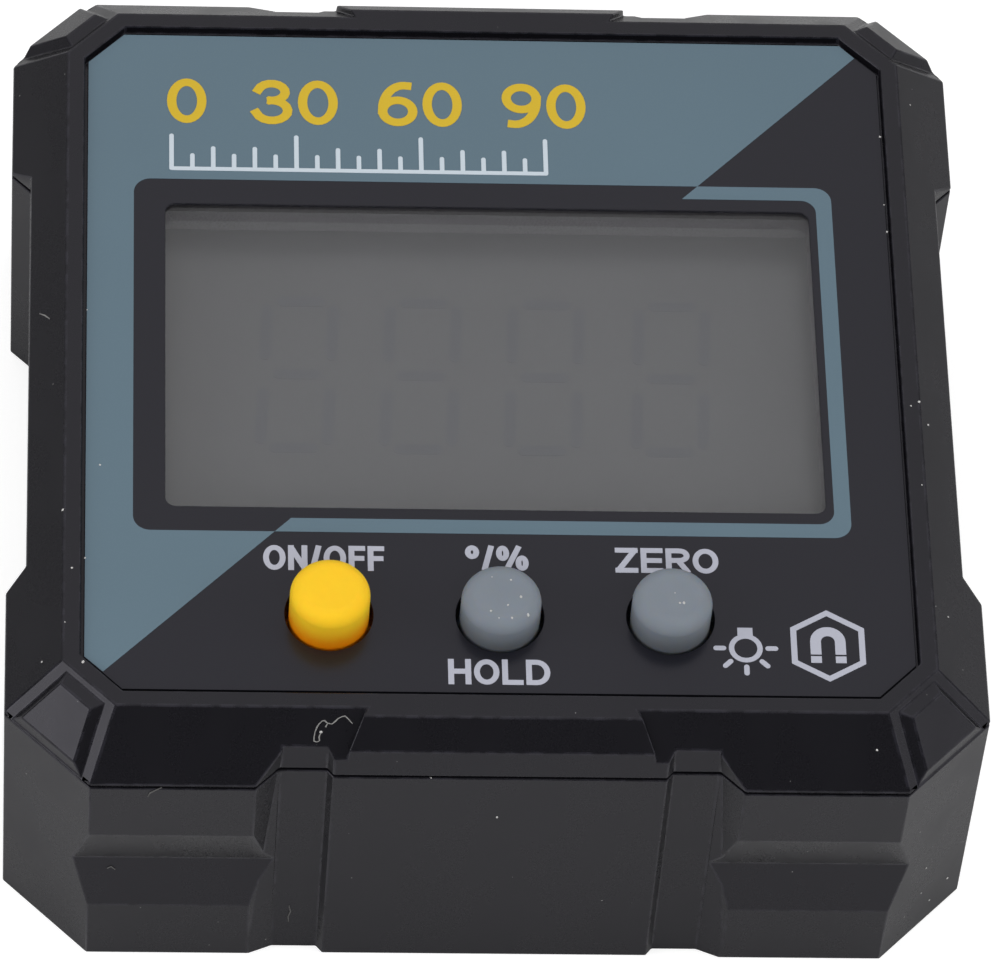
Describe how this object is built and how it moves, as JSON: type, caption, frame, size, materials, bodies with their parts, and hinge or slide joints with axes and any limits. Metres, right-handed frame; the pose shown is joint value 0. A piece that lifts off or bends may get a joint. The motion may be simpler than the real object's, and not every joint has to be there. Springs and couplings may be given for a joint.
{
  "type": "digital angle gauge",
  "caption": "Square pocket angle gauge with a grey display, a row of push buttons, a sloped dark cover with cut corners and a magnetic base edge.",
  "frame": {"origin": "middle of the back face, on the plane the gauge lies on", "axes": "+Z out of the display, +Y towards the top of the display, -Y out of the magnetic base edge, +X to the right"},
  "size_m": [0.062, 0.062, 0.0259],
  "materials": {
    "case_plastic": "fine matt moulded plastic",
    "label_print": "satin printed overlay, dark with blue-grey fields",
    "window_clear": "clear glossy plastic",
    "gasket_foam": "black closed-cell foam",
    "display_glass": "grey display glass",
    "light_panel": "frosted white",
    "holder_plastic": "off-white moulded plastic",
    "strip_rubber": "layered contact rubber",
    "led_body": "white lamp body",
    "board_green": "green solder mask",
    "chip_black": "moulded chip body",
    "switch_plastic": "black moulded plastic",
    "button_yellow": "smooth satin yellow",
    "button_grey": "smooth satin grey",
    "plunger_plastic": "off-white plastic",
    "cell_sleeve": "plain printed sleeve on a steel can",
    "contact_steel": "nickel plated spring steel",
    "magnet_plated": "nickel plated magnet",
    "screw_black": "blackened steel",
    "screw_steel": "plain steel"
  },
  "bodies": {
    "case": {"front_cover": "case_plastic", "rear_case": "case_plastic", "face_label": "label_print", "display_window": "window_clear", "display_gasket": "gasket_foam", "lcd_glass": "display_glass", "light_panel": "light_panel", "lcd_holder": "holder_plastic", "contact_strip": "strip_rubber", "backlight_leds": "led_body", "main_board": "board_green", "controller_chip": "chip_black", "tilt_sensor": "chip_black", "switch_bodies": "switch_plastic", "battery_left": "cell_sleeve", "battery_right": "cell_sleeve", "contact_bridge": "contact_steel", "contact_positive": "contact_steel", "contact_negative": "contact_steel", "base_magnets": "magnet_plated", "case_screws": "screw_black", "board_screws": "screw_steel"},
    "power_key": {"power_button": "button_yellow", "power_plunger": "plunger_plastic"},
    "hold_key": {"hold_button": "button_grey", "hold_plunger": "plunger_plastic"},
    "zero_key": {"zero_button": "button_grey", "zero_plunger": "plunger_plastic"},
    "door": {"battery_door": "case_plastic"}
  },
  "joints": [
    {"name": "power_press", "type": "slide", "parent": "case", "child": "power_key", "axis": [0, 0, -1], "range_m": [0, 0.00035], "stiffness_N_per_m": 3000},
    {"name": "hold_press", "type": "slide", "parent": "case", "child": "hold_key", "axis": [0, 0, -1], "range_m": [0, 0.00035], "stiffness_N_per_m": 3000},
    {"name": "zero_press", "type": "slide", "parent": "case", "child": "zero_key", "axis": [0, 0, -1], "range_m": [0, 0.00035], "stiffness_N_per_m": 3000},
    {"name": "door_slide", "type": "slide", "parent": "case", "child": "door", "axis": [0, 1, 0], "range_m": [0, 0.05]}
  ]
}
